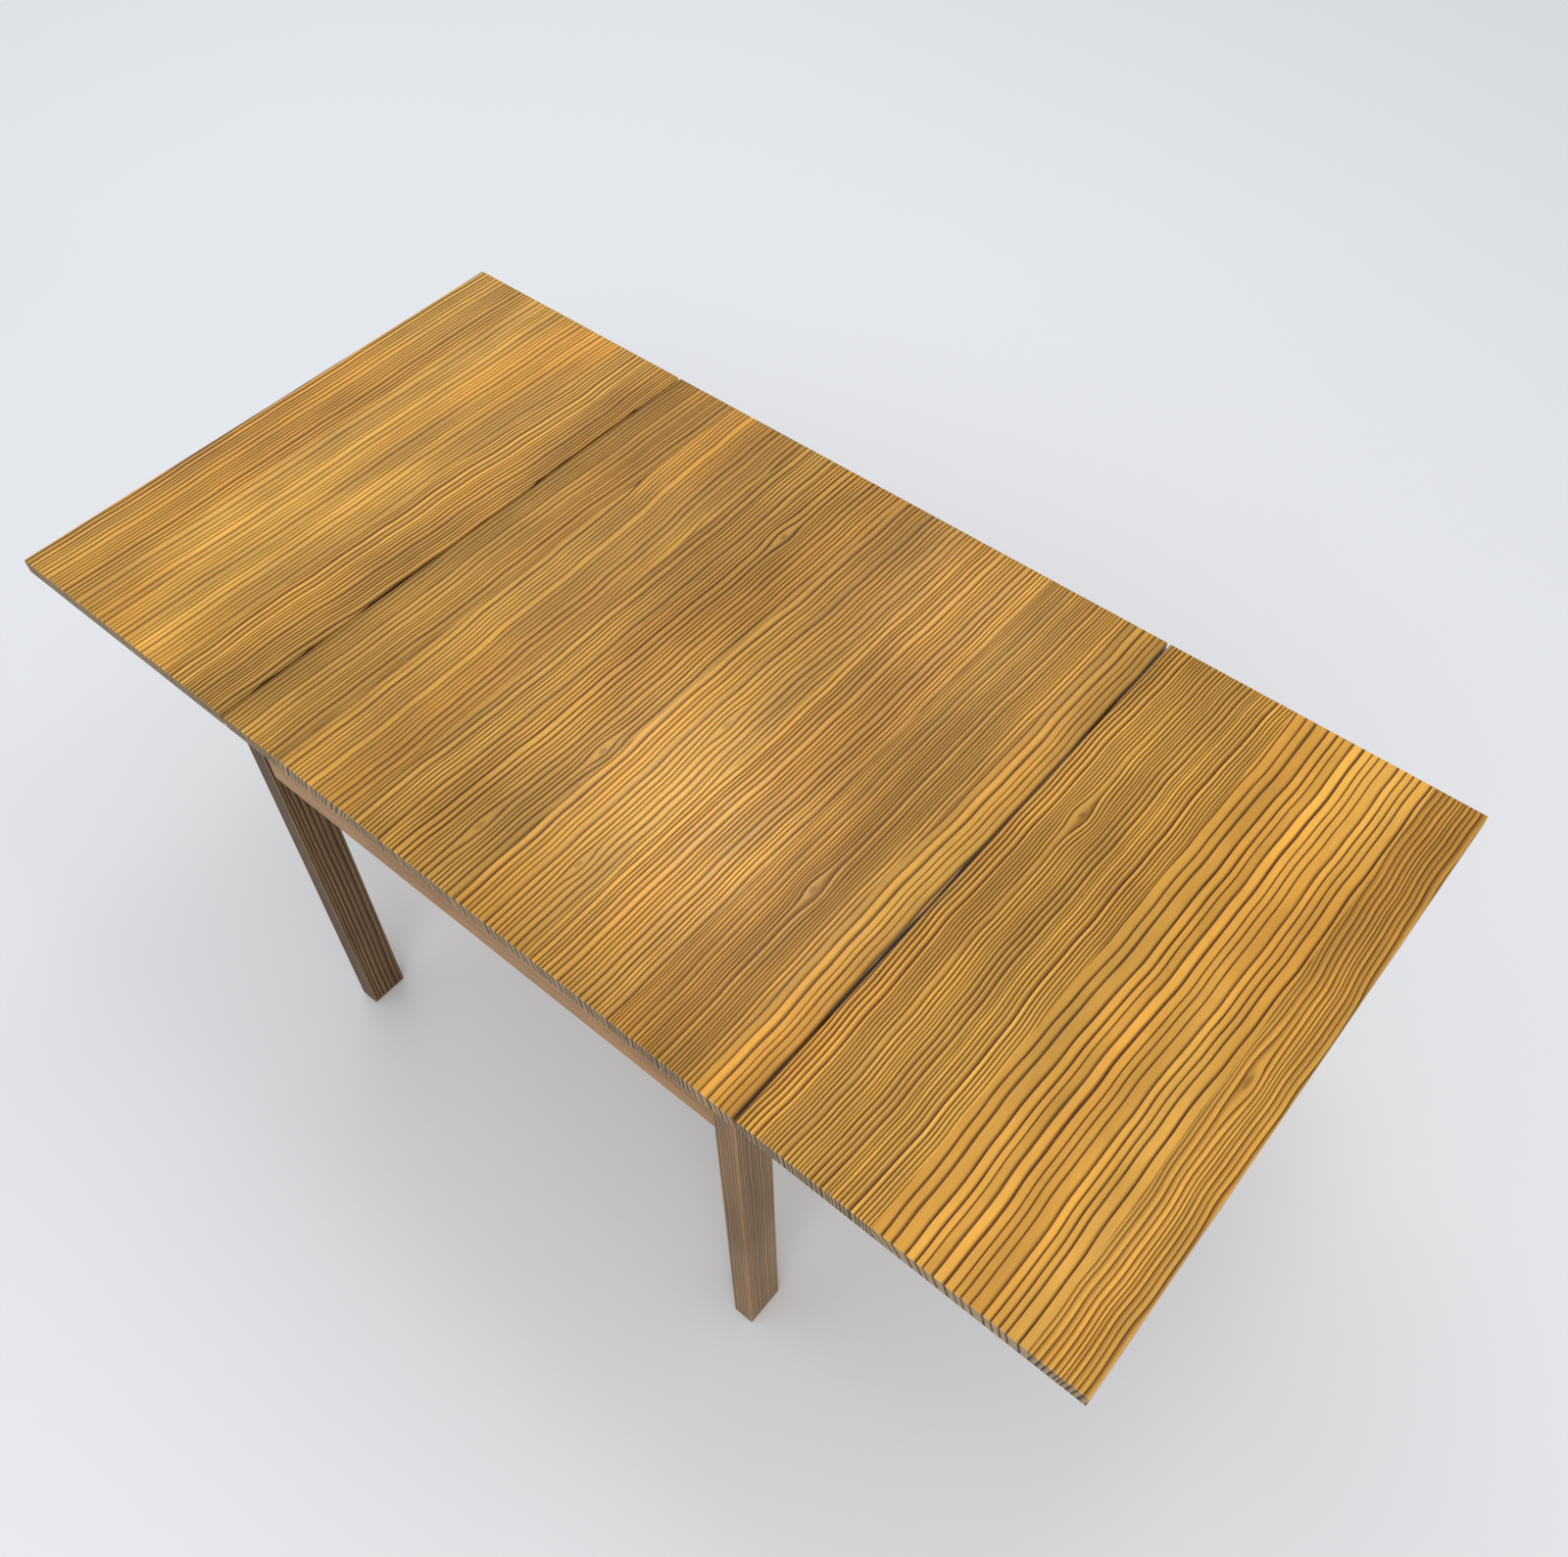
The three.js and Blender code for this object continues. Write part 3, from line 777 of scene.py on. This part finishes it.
def corner_block(name, low, high, side, back):
    """A prism whose square corner lies in the frame's corner, with its sharp edges eased."""
    solid = bmesh.new()
    x = (low.x, high.x) if side > 0 else (high.x, low.x)
    y = (low.y, high.y) if back > 0 else (high.y, low.y)
    foot = [solid.verts.new((px, py, low.z)) for px, py in ((x[1], y[1]), (x[0], y[1]), (x[1], y[0]))]
    base = solid.faces.new(foot)
    grown = bmesh.ops.extrude_face_region(solid, geom=[base])
    moved = [v for v in grown["geom"] if isinstance(v, bmesh.types.BMVert)]
    bmesh.ops.translate(solid, verts=moved, vec=(0, 0, high.z - low.z))
    bmesh.ops.recalc_face_normals(solid, faces=solid.faces)
    bmesh.ops.bevel(solid, geom=list(solid.edges), offset=BLOCK_ARRIS, segments=2, profile=0.6,
                    affect="EDGES", clamp_overlap=True)
    for step in np.arange(low.z + BLOCK_STEP, high.z - 3 * MM, BLOCK_STEP):
        bmesh.ops.bisect_plane(solid, geom=[*solid.verts, *solid.edges, *solid.faces],
                               plane_co=(0, 0, step), plane_no=(0, 0, 1))
    mesh = bpy.data.meshes.new(name)
    solid.to_mesh(mesh)
    solid.free()
    corners = np.array([mesh.vertices[loop.vertex_index].co - low for loop in mesh.loops]) / MM
    face_of = np.concatenate([np.full(len(p.loop_indices), p.index) for p in mesh.polygons])
    up = np.array([p.normal.z for p in mesh.polygons])[face_of]
    rings = ring_count(corners[:, 0], corners[:, 2], corners[:, 1], BLOCK_TREE, [])
    flat = np.ones(len(rings))
    end = (np.abs(up) > BLOCK_END_NORMAL).astype(float)
    store(mesh, corners[:, [0, 2, 1]] * MM, {
        "ring": rings, "tone": 0.95 * flat, "contrast": 0.8 * flat, "share": 0.7 * flat,
        "end": end, "rim": 0 * flat})
    return mesh


# The steel.

LEAF_SCREW_INSET = 11 * MM          # from the plate's outer edge
LEAF_SCREW_FACE = 1.95 * MM         # below the plate's upper side
LEAF_SCREW_RADIUS = 3.5 * MM
GATE_SCREW_REACH = 11 * MM          # from the axis of the pin
GATE_SCREW_FACE = 0.35 * MM         # from the axis of the pin to the plate's open side
GATE_SCREW_RADIUS = 2.4 * MM
HEAD_SPOKES = 40
HEAD_RINGS = (0.12, 0.24, 0.36, 0.48, 0.6, 0.75, 0.9, 0.97, 1.0)
HEAD_EASE = 0.12 * MM
RECESS_DEPTH = 0.3                  # of the head's radius
FOOT_RADIUS, FOOT_DEPTH = 0.54, 0.46


def steel(context):
    material = bpy.data.materials.get("zinc_steel")
    return material or zinc(context.scene.gateleg_steel)


class GATELEG_OT_hinges(bpy.types.Operator):
    """Plate the hinges, their pins and the button screws"""
    bl_idname = "object.gateleg_hinges"
    bl_label = "Hinges"

    def execute(self, context):
        for name, node in frame["nodes"].items():
            if "hinge" in name or "screw" in name:
                node.data.materials.clear()
                node.data.materials.append(steel(context))
        return {"FINISHED"}


class GATELEG_OT_screws(bpy.types.Operator):
    """Drive a countersunk screw into every hole of the hinges"""
    bl_idname = "object.gateleg_screws"
    bl_label = "Hinge Screws"

    def execute(self, context):
        for end in ENDS:
            outward = SIDE[end]
            for row in ROWS:
                for plate, sense in (("frame_plate", -outward), ("leaf_plate", outward)):
                    self.leaf_screws(context, f"{row}_{end}_hinge", plate, sense)
            for level in LEVELS:
                for plate, sense in (("leg_plate", 1), ("gate_plate", -1)):
                    self.gate_screws(context, f"{end}_gate_{level}_hinge", plate, sense, outward)
        return {"FINISHED"}

    def leaf_screws(self, context, hinge, plate, sense):
        low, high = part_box(f"{hinge}_{plate}")
        x = (high.x if sense > 0 else low.x) - sense * LEAF_SCREW_INSET
        middle, reach, face = (low.y + high.y) / 2, (high.y - low.y) / 4, high.z - LEAF_SCREW_FACE
        places = [(x, middle + s * reach, face) for s in (-1, 1)]
        mesh = screw_heads(f"{hinge}_{plate}_screws", places, Vector((0, 0, -1)), LEAF_SCREW_RADIUS)
        show(mesh, steel(context), body_of(f"{hinge}_{plate}"))

    def gate_screws(self, context, hinge, plate, sense, outward):
        pin_low, pin_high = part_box(f"{hinge}_pin")
        pin = (pin_low + pin_high) / 2
        low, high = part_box(f"{hinge}_{plate}")
        reach = (high.z - low.z) / 4
        x, y = pin.x - outward * GATE_SCREW_REACH, pin.y + sense * GATE_SCREW_FACE
        places = [(x, y, pin.z + s * reach) for s in (-1, 1)]
        mesh = screw_heads(f"{hinge}_{plate}_screws", places, Vector((0, -sense, 0)), GATE_SCREW_RADIUS)
        show(mesh, steel(context), body_of(f"{hinge}_{plate}"))


def screw_heads(name, places, facing, radius):
    """Countersunk heads with a cross recess, flush with the plate and facing one way."""
    turn = Vector((0, 0, 1)).rotation_difference(facing).to_matrix()
    verts, faces = [], []
    rows = [(radius * part, -HEAD_EASE if part == 1.0 else 0.0, True) for part in HEAD_RINGS]
    rows.append((FOOT_RADIUS * radius, -FOOT_DEPTH * radius - HEAD_EASE, False))
    for n, place in enumerate(places):
        twist = 0.5 + 1.1 * n
        first = len(verts)
        for r, z, face in rows:
            for k in range(HEAD_SPOKES):
                angle = math.tau * k / HEAD_SPOKES
                u, v = r * math.cos(angle), r * math.sin(angle)
                sink = recess(u / radius, v / radius) * RECESS_DEPTH * radius if face else 0
                spot = Vector((u * math.cos(twist) - v * math.sin(twist),
                               u * math.sin(twist) + v * math.cos(twist), z - sink))
                verts.append(Vector(place) + turn @ spot)
        centre = len(verts)
        verts.append(Vector(place) + turn @ Vector((0, 0, -RECESS_DEPTH * radius)))
        for k in range(HEAD_SPOKES):
            after = (k + 1) % HEAD_SPOKES
            faces.append((centre, first + k, first + after))
            for row in range(len(rows) - 1):
                a, b = first + row * HEAD_SPOKES, first + (row + 1) * HEAD_SPOKES
                faces.append((a + k, b + k, b + after, a + after))
        foot = first + (len(rows) - 1) * HEAD_SPOKES
        faces.append(tuple(foot + k for k in reversed(range(HEAD_SPOKES))))
    mesh = bpy.data.meshes.new(name)
    mesh.from_pydata([tuple(v) for v in verts], [], faces)
    mesh.update()
    mesh.polygons.foreach_set("use_smooth", [len(f) < 5 for f in faces])
    return mesh


def recess(u, v):
    """1 inside the cross of a screw head and 0 outside it."""
    narrow, wide = min(abs(u), abs(v)), max(abs(u), abs(v))
    return max(0.0, min(1.0, (0.17 - narrow) / 0.05)) * max(0.0, min(1.0, (0.62 - wide) / 0.1))


# The stage.

FLOOR_HALF = 6
FLOOR_SHADE = (0.62, 0.63, 0.65)
DAYLIGHT = (0.95, 0.97, 1.0)
LAMP_RADIUS = 0.12
LAMP_COLOUR = (1.0, 0.93, 0.74)
LAMPS = {
    # name: (place, target, beam in degrees, watts)
    "ceiling_near": ((-0.63, 0.62, 2.05), (0.134, -0.132, 0.51), 8.5, 140),
    "ceiling_far": ((-0.57, 1.41, 2.05), (0.159, 0.19, 0.51), 6.5, 110),
    "ceiling_side": ((-1.04, 0.69, 2.05), (-0.036, -0.102, 0.51), 5, 50),
}
LIGHTS = {
    # name: (place, target, width, height, watts, colour)
    "overhead": ((-0.60, 1.0, 2.3), (0.14, 0.0, 0.51), 0.5, 1.2, 6, (1.0, 0.93, 0.82)),
    "window": ((-2.7, 1.3, 2.6), (-0.3, 0, 0.5), 2.2, 1.6, 16, (0.93, 0.97, 1.0)),
    "skylight": ((0.45, 0.30, 2.3), (0.56, -0.22, 0.51), 0.4, 0.3, 3, (1.0, 0.86, 0.80)),
    "fill": ((1.6, -2.2, 2.4), (0, 0, 0.3), 2.4, 1.8, 34, (1.0, 0.98, 0.95)),
}


class GATELEG_OT_stage(bpy.types.Operator):
    """Set up the floor, the lights and the camera"""
    bl_idname = "object.gateleg_stage"
    bl_label = "Stage"

    def execute(self, context):
        settings = context.scene.gateleg_stage
        self.camera(context, settings)
        self.floor(context, settings)
        for name, light in LIGHTS.items():
            self.light(context, name, *light)
        for name, lamp in LAMPS.items():
            self.lamp(context, name, *lamp)
        world = bpy.data.worlds.new("studio")
        world.use_nodes = True
        background = world.node_tree.nodes["Background"]
        background.inputs["Color"].default_value = (*DAYLIGHT, 1)
        background.inputs["Strength"].default_value = settings.ambient
        context.scene.world = world
        context.scene.view_settings.view_transform = "Standard"
        return {"FINISHED"}

    def camera(self, context, settings):
        data = bpy.data.cameras.new("camera")
        data.sensor_fit = "HORIZONTAL"
        data.sensor_width = 36
        data.lens = settings.lens
        camera = bpy.data.objects.new("camera", data)
        turn = (Matrix.Rotation(settings.heading, 4, "Z")
                @ Matrix.Rotation(math.pi / 2 - settings.dip, 4, "X")
                @ Matrix.Rotation(settings.roll, 4, "Z"))
        camera.matrix_world = Matrix.Translation(settings.eye) @ turn
        context.scene.collection.objects.link(camera)
        context.scene.camera = camera

    def floor(self, context, settings):
        mesh = bpy.data.meshes.new("floor")
        half = FLOOR_HALF
        mesh.from_pydata([(-half, -half, 0), (half, -half, 0), (half, half, 0), (-half, half, 0)], [],
                         [(0, 1, 2, 3)])
        floor = bpy.data.objects.new("floor", mesh)
        context.scene.collection.objects.link(floor)
        finish = Finish("plain_floor")
        place = finish.add("ShaderNodeTexCoord", out="Object")
        cloud = finish.noise(place, scale=1.3, detail=2)
        speck = finish.noise(place, scale=900, detail=2)
        colour = finish.mix(0.12 * cloud, settings.floor, FLOOR_SHADE)
        bump = finish.add("ShaderNodeBump", None, {"Strength": 0.1, "Distance": 0.1 * MM, "Height": speck})
        mesh.materials.append(finish.close(colour, 0.62 + 0.1 * (speck - 0.5), bump))

    def light(self, context, name, place, target, width, height, watts, colour):
        data = bpy.data.lights.new(name, "AREA")
        data.shape = "RECTANGLE"
        data.size, data.size_y = width, height
        data.energy = watts
        data.color = colour
        self.aim(context, name, data, place, target)

    def lamp(self, context, name, place, target, beam, watts):
        data = bpy.data.lights.new(name, "SPOT")
        data.spot_size = math.radians(beam)
        data.spot_blend = 1
        data.shadow_soft_size = LAMP_RADIUS
        data.energy = watts
        data.color = LAMP_COLOUR
        self.aim(context, name, data, place, target)

    def aim(self, context, name, data, place, target):
        light = bpy.data.objects.new(name, data)
        light.location = place
        light.rotation_euler = (Vector(target) - Vector(place)).to_track_quat("-Z", "Y").to_euler()
        context.scene.collection.objects.link(light)


# The add-on.

OPERATORS = (
    GATELEG_OT_stage, GATELEG_OT_top, GATELEG_OT_legs, GATELEG_OT_rails, GATELEG_OT_blocks,
    GATELEG_OT_gates, GATELEG_OT_locks, GATELEG_OT_hinges, GATELEG_OT_screws,
)


class GATELEG_PT_panel(bpy.types.Panel):
    """Lists the table's operators in the sidebar"""
    bl_idname = "GATELEG_PT_panel"
    bl_label = "Gateleg Table"
    bl_space_type = "VIEW_3D"
    bl_region_type = "UI"
    bl_category = "Gateleg"

    def draw(self, context):
        for operator in OPERATORS:
            self.layout.operator(operator.bl_idname)


def register():
    for cls in (*SETTINGS.values(), *OPERATORS, GATELEG_PT_panel):
        bpy.utils.register_class(cls)
    for name, group in SETTINGS.items():
        setattr(bpy.types.Scene, name, PointerProperty(type=group))


def unregister():
    for name in SETTINGS:
        delattr(bpy.types.Scene, name)
    for cls in reversed((*SETTINGS.values(), *OPERATORS, GATELEG_PT_panel)):
        bpy.utils.unregister_class(cls)


def main():
    register()
    for operator in OPERATORS:
        group, name = operator.bl_idname.split(".")
        getattr(getattr(bpy.ops, group), name)()


if __name__ == "__main__":
    main()
